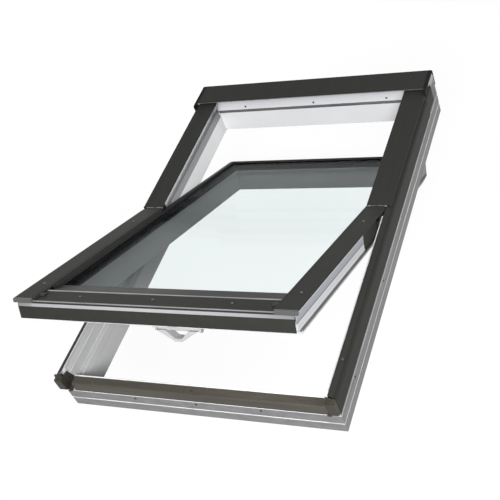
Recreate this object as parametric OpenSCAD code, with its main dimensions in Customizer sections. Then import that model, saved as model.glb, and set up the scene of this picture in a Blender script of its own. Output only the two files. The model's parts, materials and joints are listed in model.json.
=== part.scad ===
// Centre-pivot roof window: a white plastic frame and sash with dark aluminium covers.
// X runs across the roof, Y up the slope and Z out of the roof.
// The origin is the middle of the frame's back face, and the sash is drawn turned open.

/* [Frame] */
// Overall width of the frame
frame_w = 780; // [600:10:1140]
// Overall length of the frame, along the slope
frame_l = 1180; // [980:10:1600]
// Width of the frame bars at the back face
profile_w = 41.5; // [38:0.5:48]
// Height of the rebate floor above the back face
rebate_z = 75; // [70:1:80]
// Thickness of the upstand at the jamb's outer edge
upstand_t = 18; // [16:0.5:20]
// Height of the rounded side cladding
clad_top = 139; // [134:0.5:140]
// Height of the sill's cladding
sill_top = 95; // [90:0.5:98]
// Depth of the sill's cladding, along the slope
sill_depth = 25; // [20:1:30]

/* [Covers] */
// Height of the outer face of the covers
cover_top = 144; // [143:0.5:150]
// Thickness of the cover sheets
cover_t = 1.6; // [1:0.1:2]
// Thickness of the cladding sheets
clad_t = 1.3; // [0.8:0.1:1.6]
// How far the covers reach in over the sash
cover_lap = 24; // [16:1:28]
// How far the sash covers stand out past the side flange
cover_overhang = 10; // [6:0.5:11]
// Height of the hood's outer face
hood_top = 157; // [153:0.5:165]
// Length of the hood, along the slope
hood_l = 87; // [80:1:130]

/* [Sash] */
// How far the sash is turned open from closed
open_angle = 24.6; // [5:0.1:45]
// Place of the pivot axis, up the slope from the middle
pivot_y = 20; // [0:1:60]
// Gap between the sash stile and the frame on each side
sash_gap = 4.5; // [3.5:0.5:6]
// Gap between the sash and the frame head
head_gap = 12.5; // [8:0.5:20]
// Gap between the sash and the frame sill
sill_gap = 15.5; // [15:0.5:20]
// Width of the sash bars
stile_w = 45; // [42:0.5:60]
// Height of the sash's inner face above the frame's back face
sash_z = 34; // [30:1:44]
// Height of the sash's outer wall
sash_top_z = 121; // [118:0.5:124]
// How far the bottom cover reaches past the frame
bottom_reach = 32; // [26:1:40]
// Height of the bottom cover's top
bottom_top = 138; // [134:0.5:140]
// Height of the bottom cover's lower edge
bottom_low = 91; // [88:0.5:96]
// Distance from the pivot to the start of the side flanges
flange_start = 180; // [120:5:240]

/* [Glass] */
// Thickness of each pane
pane_t = 4; // [3:0.5:5]
// Gap between the two panes
pane_gap = 16; // [12:1:16]
// Height of the seat that the glass unit lies on
glass_seat = 100; // [96:0.5:100]

/* [Hinge] */
// Inner radius of the curved groove
groove_r0 = 38; // [30:1:40]
// Outer radius of the curved groove
groove_r1 = 52; // [48:1:54]
// Half length of the hinge track
track_half = 62; // [60:1:70]

/* [Handle and latch] */
// Length of the handle's base
handle_w = 116; // [96:2:140]
// Distance that the bow stands off the sash
handle_h = 42; // [38:1:50]
// Width of the bow's strap
handle_strap = 24; // [18:1:26]
// Thickness of the bow
handle_t = 8; // [7:0.5:10]
// Stroke of the latch bolt
bolt_stroke = 10; // [8:0.5:10]

/* [Fixing holes] */
// Radius of the fixing holes in the jambs and the sill
hole_r = 2.5; // [1.5:0.25:3.5]
// Depth of the fixing holes
hole_depth = 25; // [10:1:30]
// Height of the fixing holes above the back face
hole_z = 52; // [40:1:60]
// Distance between the two fixing holes of a jamb
jamb_hole_pitch = 306; // [200:2:400]
// Place of the middle of a jamb's fixing holes, down the slope
jamb_hole_y = 317; // [260:1:340]
// Distance between the fixing holes of the sill
sill_hole_pitch = 180; // [120:2:220]

/* [Hidden] */
$fn = 48;

white = "whitesmoke";
dark = "#3c3c39";
black = "#232321";
silver = "#b9bcbf";
rubber = "#5f5d63";

// Clearances
fit = 0.3;
clad_fit = 0.4;
joint_gap = 2;
run_fit = 0.05;
e = 0.01;

// Frame places
half_w = frame_w / 2;
half_l = frame_l / 2;
open_x = half_w - profile_w;
open_y = half_l - profile_w;
upstand_x = half_w - upstand_t;
clad_r = upstand_t;
clad_mid_z = clad_top - clad_r;
cover_x = half_w - 3;
hood_y = half_l - hood_l;
chamfer_w = 4;
chamfer_h = 15;
groove_d = 1.5;
clad_turn = 84;
bead_w = 1.2;
lip_in = 1.7;
lip_drop = 9;
gasket_h = 4;
gasket_w = 5;
gasket_lip = 1.2;
mitre = 100;

// Sash places, with the sash closed
pivot_z = cover_top + 0.5;
sash_x = open_x - sash_gap;
sash_in_x = sash_x - stile_w;
sash_top = open_y - head_gap;
sash_bottom = -(open_y - sill_gap);
sash_wall = 9;
glass_edge = 4;
glass_x = sash_x - sash_wall - glass_edge;
glass_top = sash_top - sash_wall - glass_edge;
glass_bottom = sash_bottom + sash_wall + glass_edge;
bed_t = 2;
glass_z0 = glass_seat + bed_t;
glass_z1 = glass_z0 + pane_t;
glass_z2 = glass_z1 + pane_gap;
glass_z3 = glass_z2 + pane_t;
lip_gasket = 3;
cover_in_x = sash_x - cover_lap;
flange_x = upstand_x - 4;
flange_t = 2;
sash_cover_x = flange_x + cover_overhang;
bottom_y = -(half_l + bottom_reach);
cover_end_y = bottom_y + 6;
end_cap_t = 3;
flange_low = bottom_low;
flange_end_y = bottom_y + 9;
flange_y = pivot_y - flange_start;
bottom_edge_y = bottom_y + 60;

// Hinge places
track_x0 = sash_x + 12;
track_x1 = upstand_x - groove_d - fit;
groove_x1 = track_x1 - 5;
groove_sweep = 179;
shoe_t = 6;
shoe_r = groove_r1 + 4;
tongue_from = -80;
tongue_to = 30;

// Handle and latch places, with the sash closed
handle_y = sash_bottom + 31;
handle_z = sash_z - 12;
pin_r = 3;
ear_t = 6;
ear_x = handle_w / 2 + 1;
bolt_z = sash_z + 9;
bolt_w = 20;
bolt_t = 8;
keep_depth = 12.5;
keep_play = 1.2;
nose_y = sash_bottom + 3;
lever_w = 6;
bar_r = 5;

// Points of an arc from angle a0 to a1
function arc(cx, cy, r, a0, a1, n = 10) =
    [for (i = [0 : n]) [cx + r * cos(a0 + (a1 - a0) * i / n), cy + r * sin(a0 + (a1 - a0) * i / n)]];

// A section in X and Z, drawn along Y
module along_y(points, y0, y1) {
    translate([0, y1, 0]) rotate([90, 0, 0]) linear_extrude(y1 - y0) polygon(points);
}

// A section in Y and Z, drawn along X
module along_x(points, x0, x1) {
    translate([x0, 0, 0]) rotate([90, 0, 90]) linear_extrude(x1 - x0) polygon(points);
}

// A block between two corners
module block(low, high) {
    translate(low) cube(high - low);
}

// A round bar along X
module bar_x(x0, x1, y, z, r) {
    translate([x0, y, z]) rotate([0, 90, 0]) cylinder(h = x1 - x0, r = r);
}

// A round bar along Y
module bar_y(y0, y1, x, z, r) {
    translate([x, y0, z]) rotate([-90, 0, 0]) cylinder(h = y1 - y0, r = r);
}

// The right piece, or its mirror image on the left
module side(left) {
    mirror([left ? 1 : 0, 0, 0]) children();
}

// What is drawn closed, turned open about the pivot axis
module opened() {
    translate([0, pivot_y, pivot_z]) rotate([-open_angle, 0, 0]) translate([0, -pivot_y, -pivot_z]) children();
}

// The wedge of a mitred bar on the +X side of a w by l rectangle
module mitre_x(x, y0, y1, z0, z1) {
    translate([0, 0, z0]) linear_extrude(z1 - z0)
        polygon([[x, y0], [x, y1], [x - mitre, y1 - mitre], [x - mitre, y0 + mitre]]);
}

// The wedge of a mitred bar on the side of y, where inward is its direction to the middle
module mitre_y(x, y, inward, z0, z1) {
    translate([0, 0, z0]) linear_extrude(z1 - z0)
        polygon([[-x, y], [x, y], [x - mitre, y + inward * mitre], [mitre - x, y + inward * mitre]]);
}

// Grooves along the outer face of the frame bars, at outer edge o
function outer_face(o) = [
    [o, 0], [o, 27], [o - groove_d, 28.5], [o - groove_d, 31], [o, 32.5],
    [o, 60], [o - groove_d, 61.5], [o - groove_d, 63], [o, 64.5]
];

// Section of a jamb with its rebate and its rounded upstand
function jamb_section() = concat(
    outer_face(half_w),
    [[half_w, rebate_z], [half_w - clad_t - clad_fit, rebate_z]],
    arc(upstand_x, clad_mid_z, clad_r - clad_t - clad_fit, 0, clad_turn),
    [[upstand_x + bead_w, clad_top - 1.6], [upstand_x + bead_w - 0.4, clad_top - 0.2]],
    [[upstand_x - lip_in + 0.6, clad_top - 0.2], [upstand_x - lip_in, clad_top - 1.2]],
    [[upstand_x - lip_in, clad_top - lip_drop], [upstand_x, clad_top - lip_drop - lip_in]],
    [[upstand_x, clad_mid_z - 12], [upstand_x - groove_d, clad_mid_z - 14], [upstand_x, clad_mid_z - 16]],
    [[upstand_x, rebate_z], [open_x + chamfer_w, rebate_z], [open_x, rebate_z - chamfer_h], [open_x, 0]]
);

module frame_jamb(left) {
    color(white) side(left) difference() {
        intersection() {
            along_y(jamb_section(), -half_l, half_l);
            mitre_x(half_w, -half_l, half_l, -e, clad_top + e);
        }
        for (k = [-0.5, 0.5])
            bar_x(half_w - hole_depth, half_w + e, -jamb_hole_y + k * jamb_hole_pitch, hole_z, hole_r);
    }
}

module frame_jamb_left() { frame_jamb(true); }
module frame_jamb_right() { frame_jamb(false); }

// Head bar: its inner face carries the gasket and the trim strip
trim_t = 2;
head_gasket_z = rebate_z - 5;
trim_z = rebate_z + 7;
head_top = clad_top - 1;
gasket_d = 3;

module frame_head() {
    section = concat(
        outer_face(half_l),
        [[half_l, head_top], [open_y + trim_t, head_top], [open_y + trim_t, trim_z]],
        [[open_y + gasket_d, trim_z], [open_y + gasket_d, head_gasket_z], [open_y, head_gasket_z], [open_y, 0]]
    );
    color(white) intersection() {
        along_x(section, -half_w, half_w);
        mitre_y(half_w, half_l, -1, -e, head_top + e);
    }
}

// Sill bar, with a low step under its cladding
sill_in_y = half_l - sill_depth;
sill_end_x = flange_x - flange_t - 5;

module frame_sill() {
    low = rebate_z - 10;
    section = concat(
        [for (p = outer_face(half_l)) [-p[0], p[1]]],
        [[-half_l, low], [-half_l + 1, low], [-half_l + 1, sill_top - 4.5], [-half_l + 4, sill_top - clad_t - clad_fit]],
        [[-sill_in_y - clad_t - clad_fit, sill_top - clad_t - clad_fit]],
        [[-sill_in_y - clad_t - clad_fit, rebate_z], [-open_y - chamfer_w, rebate_z]],
        [[-open_y, rebate_z - chamfer_h], [-open_y, 0]]
    );
    color(white) difference() {
        intersection() {
            along_x(section, -half_w, half_w);
            mitre_y(half_w, -half_l, 1, -e, sill_top);
        }
        for (k = [-1 : 1])
            bar_y(-half_l - e, -half_l + hole_depth, k * sill_hole_pitch, hole_z, hole_r);
        for (k = [0, 1])
            mirror([k, 0, 0]) block([sill_end_x + fit, -half_l - e, rebate_z], [half_w, 0, sill_top]);
    }
}

// Sealing gaskets of the frame: a lip over each jamb's chamfer and a rib on its rebate floor
module rib_y(x, y0, y1) {
    w = gasket_w / 2;
    along_y(concat([[x - w, rebate_z], [x + w, rebate_z]], arc(x, rebate_z + gasket_h - w, w, 0, 180)), y0, y1);
}

module jamb_gasket(left) {
    w = gasket_w / 2;
    x = open_x + chamfer_w;
    lip = concat(
        [[x, rebate_z], [x + gasket_w, rebate_z]], arc(x + w, rebate_z + gasket_h - w, w, 0, 180),
        [[open_x - gasket_lip, rebate_z - chamfer_h + 1], [open_x, rebate_z - chamfer_h]]
    );
    color(rubber) side(left)
        for (run = [[-open_y, pivot_y - track_half - 1], [pivot_y + track_half + 1, open_y - gasket_d]]) {
            along_y(lip, run[0], run[1]);
            rib_y(upstand_x - gasket_w, run[0], run[1]);
        }
}

module jamb_gasket_left() { jamb_gasket(true); }
module jamb_gasket_right() { jamb_gasket(false); }

module head_gasket() {
    y = open_y + gasket_d;
    mid = (head_gasket_z + trim_z) / 2;
    color(rubber) along_x([
        [y, head_gasket_z + fit], [y, trim_z - fit], [open_y + 0.5, trim_z - 1],
        [open_y - 1.5, mid], [open_y + 0.5, head_gasket_z + 1]
    ], -open_x, open_x);
}

module sill_gasket() {
    w = gasket_w / 2;
    y = -(open_y + chamfer_w + gasket_w);
    color(rubber) along_x(
        concat([[y - w, rebate_z], [y + w, rebate_z]], arc(y, rebate_z + gasket_h - w, w, 0, 180)),
        -open_x, open_x
    );
}

// Side cladding: a sheet that rises from the jamb's ledge and rounds over the upstand
end_plate_l = 42;
clad_end = 3;
spot_d = 0.4;
spot_turn = 35;
spot_y = -half_l + 110;

// Place on the cladding's round where its screw sits
module on_round() {
    translate([upstand_x, spot_y, clad_mid_z]) rotate([0, spot_turn, 0]) translate([0, 0, clad_r - spot_d]) children();
}

module side_cladding(left) {
    section = concat(
        [[half_w, rebate_z]], arc(upstand_x, clad_mid_z, clad_r, 0, clad_turn),
        arc(upstand_x, clad_mid_z, clad_r - clad_t, clad_turn, 0), [[half_w - clad_t, rebate_z]]
    );
    color(dark) side(left) difference() {
        along_y(section, -half_l + clad_end, half_l - end_plate_l);
        on_round() cylinder(h = 5, r = screw_r + fit);
    }
}

module side_cladding_left() { side_cladding(true); }
module side_cladding_right() { side_cladding(false); }

// Sill cladding: a folded sheet over the sill's front and top
sill_face_y = -half_l + 1 - clad_fit - clad_t;

module sill_cladding() {
    low = rebate_z - 10;
    y = sill_face_y;
    color(dark) along_x([
        [y, low], [y, sill_top - 3], [y + 3, sill_top], [-sill_in_y, sill_top], [-sill_in_y, sill_top - 9],
        [-sill_in_y - clad_t, sill_top - 9], [-sill_in_y - clad_t, sill_top - clad_t],
        [y + 3.5, sill_top - clad_t], [y + clad_t, sill_top - 3.5], [y + clad_t, low]
    ], -sill_end_x, sill_end_x);
}

// Corner block: closes the ends of the side cladding, the upstand and the rebate
block_t = 15;
block_top = clad_top - 13;
wrap_t = 2;
wrap_l = 17;
pad_l = 23;

module corner_block(left) {
    front = -half_l - block_t - 1;
    back = -half_l - 1;
    low = rebate_z + 2;
    pad_z = rebate_z + gasket_h;
    color(black) side(left) {
        along_x([
            [back, low], [back, clad_top - 4], [back - 3, clad_top - 4], [back - 6, block_top],
            [front + 2, block_top], [front, block_top - 2], [front, low + 11], [front + 5, low + 5]
        ], upstand_x - wrap_t, half_w + 3);
        block([sill_end_x + fit, front + 4, rebate_z], [upstand_x, -half_l + pad_l, pad_z]);
        along_x(concat(
            [[back, pad_z], [back, block_top]], arc(-half_l + wrap_l - 8, block_top - 7, 8, 90, 0),
            [[-half_l + wrap_l, pad_z]]
        ), upstand_x - wrap_t, upstand_x);
    }
}

module corner_block_left() { corner_block(true); }
module corner_block_right() { corner_block(false); }

// Head trim: a light strip along the head, under the hood
module head_trim() {
    color(silver) block([-open_x + 1, open_y, trim_z], [open_x - 1, open_y + trim_t, head_top]);
}

// Hood: a folded sheet over the head, with a lip at its lower edge
hood_x = half_w - 2;
hood_fold_r = 6;
hood_lip_z = hood_top - 4;
hood_back_z = 100;

module head_hood() {
    back = half_l + fit + cover_t;
    color(dark) along_x(concat(
        [[hood_y, hood_lip_z], [hood_y, hood_top]],
        arc(back - hood_fold_r, hood_top - hood_fold_r, hood_fold_r, 90, 0),
        [[back, hood_back_z], [back - cover_t, hood_back_z]],
        arc(back - hood_fold_r, hood_top - hood_fold_r, hood_fold_r - cover_t, 0, 90),
        [[hood_y + cover_t, hood_top - cover_t], [hood_y + cover_t, hood_lip_z]]
    ), -hood_x, hood_x);
}

// Hood end: a black rim round the end of the hood and a light plate under it
rim_h = 7;
rim_t = 3.5;
cap_y = hood_y - 21;

module hood_end_cap(left) {
    back = half_l + fit + cover_t;
    low = clad_top - 1;
    color(black) side(left) along_x([
        [cap_y, low], [cap_y, hood_top - 3], [cap_y + 4, hood_top + 1], [back - hood_fold_r, hood_top + 1],
        [back, hood_top - hood_fold_r],
        [back, hood_back_z], [back - cover_t, hood_back_z], [back - cover_t, head_top + 1], [back - 5, hood_top - hood_fold_r],
        [back - 8, hood_top - rim_h], [cap_y + 14, hood_top - rim_h], [cap_y + 14, low]
    ], hood_x, hood_x + rim_t);
}

module hood_end_cap_left() { hood_end_cap(true); }
module hood_end_cap_right() { hood_end_cap(false); }

module hood_end_plate(left) {
    high = hood_top - rim_h - fit;
    from = half_l - end_plate_l + 1;
    color(silver) side(left) along_x([
        [half_l - 5, rebate_z], [half_l - 5, high - 6], [half_l - 9, high], [cap_y + 14, high],
        [cap_y + 36, cover_top + 1], [from, clad_top], [from, rebate_z]
    ], half_w - clad_t, half_w);
}

module hood_end_plate_left() { hood_end_plate(true); }
module hood_end_plate_right() { hood_end_plate(false); }

// Upper cover: a folded sheet above the upper half of the sash, resting on the side cladding
cover_fold_r = 3;
cover_lip = 3;
cover_run_in = 17;
cover_foot_z = clad_mid_z + sqrt(clad_r * clad_r - pow(cover_x - cover_t - upstand_x, 2)) + fit;

module upper_cover(left) {
    fold_z = cover_top - cover_fold_r;
    color(dark) side(left) along_y(concat(
        [[cover_in_x, cover_top - cover_lip], [cover_in_x, cover_top]],
        arc(cover_x - cover_fold_r, fold_z, cover_fold_r, 90, 0),
        [[cover_x, cover_foot_z], [cover_x - cover_t, cover_foot_z]],
        arc(cover_x - cover_fold_r, fold_z, cover_fold_r - cover_t, 0, 90),
        [[cover_in_x + cover_t, cover_top - cover_t], [cover_in_x + cover_t, cover_top - cover_lip]]
    ), pivot_y + joint_gap, hood_y + cover_run_in);
}

module upper_cover_left() { upper_cover(true); }
module upper_cover_right() { upper_cover(false); }

// A ring sector about the pivot axis: angles run from straight down towards the sill
module pivot_sector(x0, x1, r0, r1, from, to) {
    translate([x0, pivot_y, pivot_z]) rotate([0, 90, 0]) rotate([0, 0, -to])
        rotate_extrude(angle = to - from) translate([r0, 0]) square([r1 - r0, x1 - x0]);
}

// Hinge track: a block in the rebate with a curved groove about the pivot axis
module hinge_track(left) {
    high = cover_top - cover_t - 2.4;
    color(black) side(left) difference() {
        block([track_x0, pivot_y - track_half, rebate_z], [track_x1, pivot_y + track_half, high]);
        pivot_sector(track_x0 - 1, groove_x1, groove_r0, groove_r1, -groove_sweep, groove_sweep);
    }
}

module hinge_track_left() { hinge_track(true); }
module hinge_track_right() { hinge_track(false); }

// Keep: a slotted block on the sill that takes the latch bolt
module latch_keep() {
    w = bolt_w / 2;
    t = bolt_t / 2;
    color(silver) difference() {
        block([-w - 10, -open_y, bolt_z - t - 6], [w + 10, -open_y + keep_depth, bolt_z + t + 6]);
        block(
            [-w - keep_play, nose_y - bolt_stroke - keep_play, bolt_z - t - keep_play],
            [w + keep_play, -open_y + keep_depth + 1, bolt_z + t + keep_play]
        );
    }
}

// A screw head that lies on a face, drawn up along Z
screw_r = 3.6;
screw_h = 1.4;

module screw() {
    cylinder(h = screw_h, r1 = screw_r, r2 = screw_r - 0.9);
}

sill_screw_x = 297;
head_screw_x = 244;

module frame_screws() {
    color(silver) {
        for (x = [-sill_screw_x, 0, sill_screw_x])
            translate([x, -half_l + 10, sill_top]) screw();
        for (x = [-head_screw_x, 0, head_screw_x])
            translate([x, open_y, trim_z + 11]) rotate([90, 0, 0]) screw();
        for (k = [0, 1])
            mirror([k, 0, 0]) on_round() screw();
    }
}

// Sash bars: a body under the glass and a wall round its edge
edge_cut = 8;
slant_w = 14;
slant_h = 24;

function sash_section(o, s) = [
    [o - s * stile_w, sash_z + 3], [o - s * (stile_w - 3), sash_z], [o - s * slant_w, sash_z],
    [o, sash_z + slant_h], [o, sash_top_z], [o - s * sash_wall, sash_top_z], [o - s * sash_wall, glass_seat],
    [o - s * (stile_w - 4), glass_seat], [o - s * stile_w, glass_seat - edge_cut]
];

module sash_stile(left) {
    color(white) opened() side(left) intersection() {
        along_y(sash_section(sash_x, 1), sash_bottom, sash_top);
        mitre_x(sash_x, sash_bottom, sash_top, 0, cover_top);
    }
}

module sash_stile_left() { sash_stile(true); }
module sash_stile_right() { sash_stile(false); }

module sash_top_rail() {
    color(white) opened() intersection() {
        along_x(sash_section(sash_top, 1), -sash_x, sash_x);
        mitre_y(sash_x, sash_top, -1, 0, cover_top);
    }
}

module sash_bottom_rail() {
    w = bolt_w / 2 + fit;
    t = bolt_t / 2 + fit;
    color(white) opened() difference() {
        intersection() {
            along_x(sash_section(sash_bottom, -1), -sash_x, sash_x);
            mitre_y(sash_x, sash_bottom, 1, 0, cover_top);
        }
        block([-w, sash_bottom - 1, bolt_z - t], [w, handle_y + bolt_tail + 1, bolt_z + t]);
        block([-lever_w / 2 - 2, handle_y - 16, sash_z - 1], [lever_w / 2 + 2, handle_y + 5, bolt_z]);
    }
}

// A rectangular ring in the plane of the sash, w wide inside the outer edges
module ring(x, y0, y1, w, z0, z1) {
    difference() {
        block([-x, y0, z0], [x, y1, z1]);
        block([-x + w, y0 + w, z0 - 1], [x - w, y1 - w, z1 + 1]);
    }
}

module pane(z0) {
    opened() block([-glass_x, glass_bottom, z0], [glass_x, glass_top, z0 + pane_t]);
}

module glass_outer() { color("#8fa3a6") pane(glass_z2); }
module glass_inner() { color("#9db0b2") pane(glass_z0); }

spacer_w = 8;
spacer_inset = 5;

module glass_spacer() {
    i = spacer_inset;
    color(black) opened() ring(glass_x - i, glass_bottom + i, glass_top - i, spacer_w, glass_z1, glass_z2);
}

lap_y0 = sash_bottom + cover_lap;
lap_y1 = sash_top - cover_lap;

module glazing_gasket_inner() {
    color(rubber) opened() ring(glass_x, glass_bottom, glass_top, stile_w - sash_wall - glass_edge - 8, glass_seat, glass_z0);
}

module glazing_gasket_outer() {
    color(black) opened()
        ring(cover_in_x + 3, lap_y0 - 3, lap_y1 + 3, 6.5, glass_z3, glass_z3 + lip_gasket);
}

// Sash cladding: a sheet from the sash's outer wall to the gasket on the glass, o outer edge, s inward sign
function clad_section(o, s) =
    let(out = o + s * (fit + clad_t), lip = o - s * (cover_lap + 2), z = glass_z3 + lip_gasket)
    [
        [out, sash_top_z - 13], [out, sash_top_z + fit + clad_t], [lip + s * 5, z + clad_t + 1], [lip, z + clad_t + 1],
        [lip, z], [lip + s * clad_t, z], [lip + s * (clad_t + 0.5), z + 1], [lip + s * 5, z + 1],
        [out - s * clad_t, sash_top_z + fit], [out - s * clad_t, sash_top_z - 13]
    ];

clad_out = fit + clad_t;

module sash_cladding(left) {
    color(dark) opened() side(left) difference() {
        intersection() {
            along_y(clad_section(sash_x, 1), pivot_y + joint_gap, sash_top + clad_out);
            mitre_x(sash_x + clad_out, -half_l, sash_top + clad_out, 0, cover_top);
        }
        block([sash_x - fit, 0, 0], [half_w, pivot_y + shoe_r + 2, cover_top]);
    }
}

module sash_cladding_left() { sash_cladding(true); }
module sash_cladding_right() { sash_cladding(false); }

module sash_cladding_top() {
    color(dark) opened() intersection() {
        along_x(clad_section(sash_top, 1), -half_w, half_w);
        mitre_y(sash_x + clad_out, sash_top + clad_out, -1, 0, cover_top);
    }
}

edge_bead = 3;

module sash_cladding_bottom() {
    z = glass_z3 + lip_gasket;
    y = lap_y0 + 1;
    end = bottom_edge_y + 1.6;
    high = bottom_top - 2;
    color(dark) opened() along_x(concat(
        [[y, z], [y, z + clad_t], [y - 4, z + clad_t + 1], [end + 2 * edge_bead, high - 0.6]],
        arc(end + edge_bead, high, edge_bead, 0, 180),
        [[end, high - clad_t], [y - 4, z + 1], [y - clad_t, z]]
    ), -cover_in_x + fit, cover_in_x - fit);
}

// Sash cover: a folded sheet over the lower half of the sash and its side flange, with a line along its inner edge
line_in = 8;
line_d = 0.8;
cover_corner_r = 20;

// What is cut off to round the corner at x and y to radius r
module corner_cut(x, y, r, z0, z1) {
    difference() {
        block([x - r, y - r, z0], [x + 1, y + 1, z1]);
        translate([x - r, y - r, z0 - 1]) cylinder(h = z1 - z0 + 2, r = r);
    }
}

module sash_cover(left) {
    lip_z = glass_z3 + lip_gasket;
    edge_z = clad_top + 1.5;
    color(dark) opened() side(left) difference() {
        along_y([
            [cover_in_x, lip_z], [cover_in_x, cover_top], [cover_in_x + line_in - line_d, cover_top],
            [cover_in_x + line_in, cover_top - line_d], [cover_in_x + line_in + line_d, cover_top],
            [sash_cover_x, cover_top], [sash_cover_x, edge_z],
            [sash_cover_x - cover_t, edge_z], [sash_cover_x - cover_t, cover_top - cover_t],
            [cover_in_x + cover_t, cover_top - cover_t], [cover_in_x + cover_t, lip_z]
        ], cover_end_y, pivot_y - joint_gap);
        block([0, bottom_y, 0], [cover_in_x + cover_t + 1, sash_bottom, bottom_top + fit]);
        corner_cut(sash_cover_x, pivot_y - joint_gap, cover_corner_r, clad_top, cover_top + 1);
    }
}

module sash_cover_left() { sash_cover(true); }
module sash_cover_right() { sash_cover(false); }

// Cover end: a moulded cap on the lower end of the sash cover
cap_front = bottom_y - 1;
cap_low = bottom_top - 4.5;

module cover_end(left) {
    color(dark) opened() side(left) along_x(concat(
        [[cover_end_y, bottom_top + fit], [cover_end_y, cover_top]],
        arc(cap_front + end_cap_t, cover_top - end_cap_t, end_cap_t, 90, 180, 6),
        [[cap_front, cap_low], [cap_front + 4.4, cap_low]]
    ), cover_in_x + 2, sash_cover_x);
}

module cover_end_left() { cover_end(true); }
module cover_end_right() { cover_end(false); }

// Bottom cover: front, sloped band and top in one folded sheet
band_drop = 16;
band_z0 = bottom_top - band_drop;
band_z1 = bottom_top - 6;
band_in = 3;

module bottom_cover() {
    y = bottom_y;
    t = cover_t;
    color(dark) opened() difference() {
        along_x([
            [y, bottom_low], [y, band_z0], [y + band_in, band_z1], [y + 7, bottom_top], [bottom_edge_y, bottom_top],
            [bottom_edge_y, bottom_top - t], [y + 7.6, bottom_top - t], [y + band_in + t, band_z1 - 0.4],
            [y + t, band_z0 + 0.2], [y + t, bottom_low]
        ], -flange_x, flange_x);
        for (k = [0, 1])
            mirror([k, 0, 0]) block([flange_x - flange_t - fit, flange_end_y - fit, 0], [half_w, 0, cover_top]);
    }
}

// Light strip on the sloped band of the bottom cover
module bottom_strip() {
    n = norm([band_in, band_z1 - band_z0]);
    out = [-(band_z1 - band_z0) / n, band_in / n];
    p = [bottom_y, band_z0] + 0.2 * [band_in, band_z1 - band_z0];
    q = [bottom_y, band_z0] + 0.97 * [band_in, band_z1 - band_z0];
    color(silver) opened() along_x([p, p + out, q + out, q], -flange_x, flange_x);
}

// Bottom flange: carries the bottom cover out past the sill
module bottom_flange() {
    low = sill_top + 8;
    high = bottom_top - cover_t - fit;
    color(white) opened() along_x([
        [sash_bottom, low], [sash_bottom, sash_top_z - 1], [bottom_edge_y + 6, high - 4], [bottom_edge_y, high - 4],
        [bottom_edge_y, high], [bottom_y + 10, high], [bottom_y + 4, band_z0], [bottom_y + 4, low + 9],
        [bottom_y + 16, low]
    ], -sash_x + fit, sash_x - fit);
}

// Side flange: a light profile on the sash stile that laps over the jamb's rebate
web_z = sash_top_z - 8;

module side_flange(left) {
    high = cover_top - cover_t - fit;
    color(silver) opened() side(left) along_y([
        [sash_x, web_z], [flange_x - flange_t, web_z], [flange_x - flange_t, flange_low],
        [flange_x + 1.5, flange_low], [flange_x + 1.5, flange_low + 1.6], [flange_x, flange_low + 3],
        [flange_x, high], [flange_x - flange_t, high], [flange_x - flange_t, web_z + 3], [sash_x, web_z + 3]
    ], flange_end_y, flange_y);
}

module side_flange_left() { side_flange(true); }
module side_flange_right() { side_flange(false); }

// Hinge skirt: a dark profile in line with the side flange, up to the hinge
skirt_end = track_half + 8;

module hinge_skirt(left) {
    high = cover_top - cover_t - fit;
    color(dark) opened() side(left) along_y([
        [sash_x, web_z], [flange_x - flange_t, web_z], [flange_x - flange_t, flange_low], [flange_x, flange_low],
        [flange_x, high], [flange_x - flange_t, high], [flange_x - flange_t, web_z + 3], [sash_x, web_z + 3]
    ], flange_y, pivot_y - skirt_end);
}

module hinge_skirt_left() { hinge_skirt(true); }
module hinge_skirt_right() { hinge_skirt(false); }

module flange_gasket() {
    x = flange_x - 2.5;
    z = rebate_z + gasket_h + 1;
    color(rubber) opened() for (k = [0, 1])
        mirror([k, 0, 0]) along_y([
            [x - 1, flange_low], [x + 2.5, flange_low], [x + 3, z + 4], [x, z], [x - 3, z + 2], [x - 2, z + 6]
        ], bottom_y + 27, flange_y);
}

// Hinge shoe: a plate on the stile with a curved tongue that runs in the track's groove
module hinge_shoe(left) {
    high = cover_top - cover_t - fit;
    color(black) opened() side(left) {
        intersection() {
            bar_x(sash_x, sash_x + shoe_t, pivot_y, pivot_z, shoe_r);
            block([0, pivot_y - shoe_r, pivot_z - shoe_r], [half_w, pivot_y + shoe_r, high]);
        }
        pivot_sector(sash_x + shoe_t - 1, groove_x1 - fit, groove_r0 + fit, groove_r1 - fit, tongue_from, tongue_to);
    }
}

module hinge_shoe_left() { hinge_shoe(true); }
module hinge_shoe_right() { hinge_shoe(false); }

// Latch case: a plate on the bottom rail with an ear at each end for the handle's pins
plate_front = 16.5;
plate_back = 10.5;

module latch_case() {
    color(white) opened() difference() {
        union() {
            block([-ear_x - ear_t, handle_y - plate_front, sash_z - 3], [ear_x + ear_t, handle_y + plate_back, sash_z]);
            for (k = [0, 1])
                mirror([k, 0, 0]) {
                    block([ear_x, handle_y - 7, handle_z], [ear_x + ear_t, handle_y + 7, sash_z - 2]);
                    bar_x(ear_x, ear_x + ear_t, handle_y, handle_z, 7);
                }
        }
        block([-lever_w / 2 - 2, handle_y - 14, sash_z - 9], [lever_w / 2 + 2, handle_y + 5, sash_z + 1]);
        for (k = [0, 1])
            mirror([k, 0, 0]) bar_x(ear_x - 1, ear_x + ear_t + 1, handle_y, handle_z, pin_r + run_fit);
    }
}

// Handle: a bow that tapers to a round tip, with a cross bar, two pins and the lever that drives the bolt
tip_r = 14;
loop_r = 5;

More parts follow.
